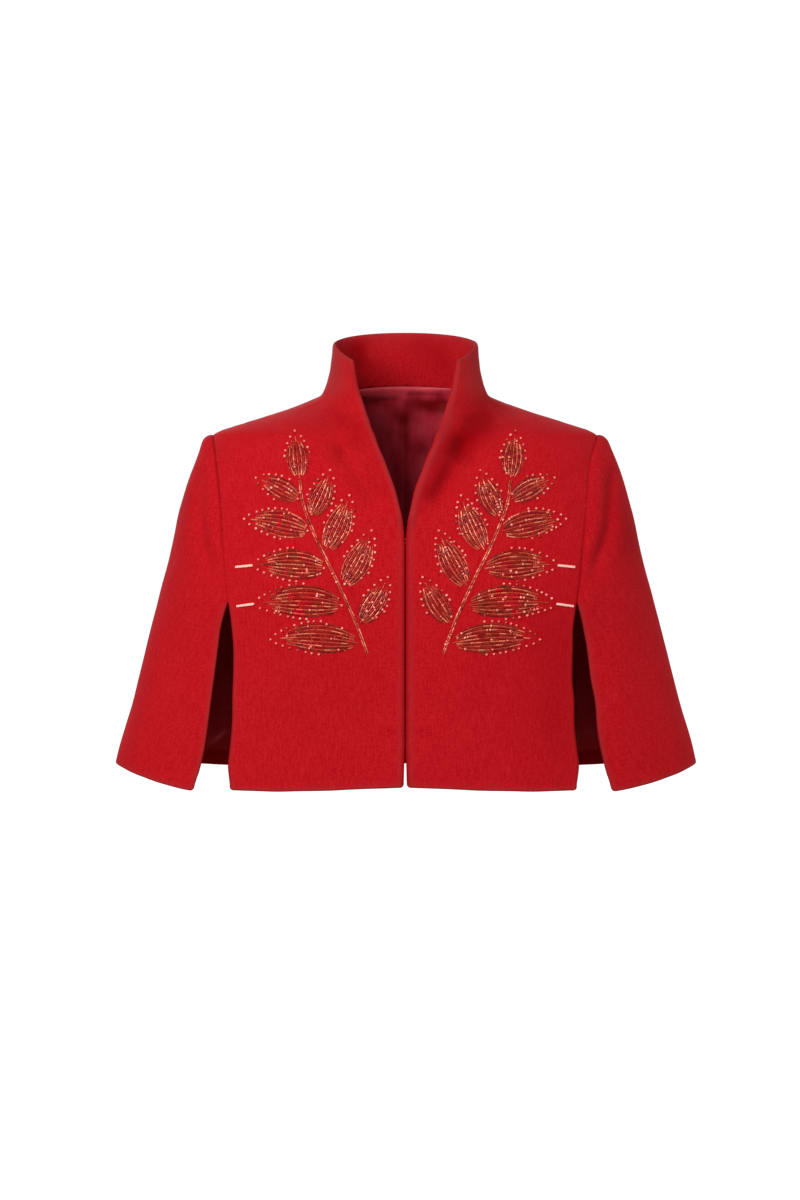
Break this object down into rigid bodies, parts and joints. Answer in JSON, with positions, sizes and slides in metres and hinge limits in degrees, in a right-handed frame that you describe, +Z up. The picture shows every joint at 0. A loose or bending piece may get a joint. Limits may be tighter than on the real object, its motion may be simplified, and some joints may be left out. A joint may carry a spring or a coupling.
{
  "type": "cape",
  "caption": "Cropped cape jacket with a grown-on funnel collar, an open V front and slit cape sleeves, hollow and filled out as worn.",
  "frame": {"origin": "between the shoulders, midway down the shoulder seams, where the wearer's shoulders hold the cape", "axes": "+X towards the wearer's left, +Y towards the wearer's back, +Z up; the front faces -Y"},
  "size_m": [0.6114, 0.2542, 0.4767],
  "materials": {
    "wool": "matt red wool crepe with a fine crepe grain and a faint nap",
    "lining": "burgundy satin lining with a soft sheen",
    "fastener": "dark red thread wound round a wire hook and eye",
    "bead_gold": "polished copper and gold glass bugle beads and round beads",
    "bead_pink": "pale pink lustre bugle beads"
  },
  "bodies": {
    "root": {"front_left": "wool", "front_right": "wool", "back": "wool", "sleeve_left": "wool", "sleeve_right": "wool", "collar_facing": "wool", "hem_facing_back": "wool", "lining_back": "lining", "lining_sleeve_left": "lining", "lining_sleeve_right": "lining", "front_hook": "fastener", "front_eye": "fastener"}
  },
  "joints": []
}
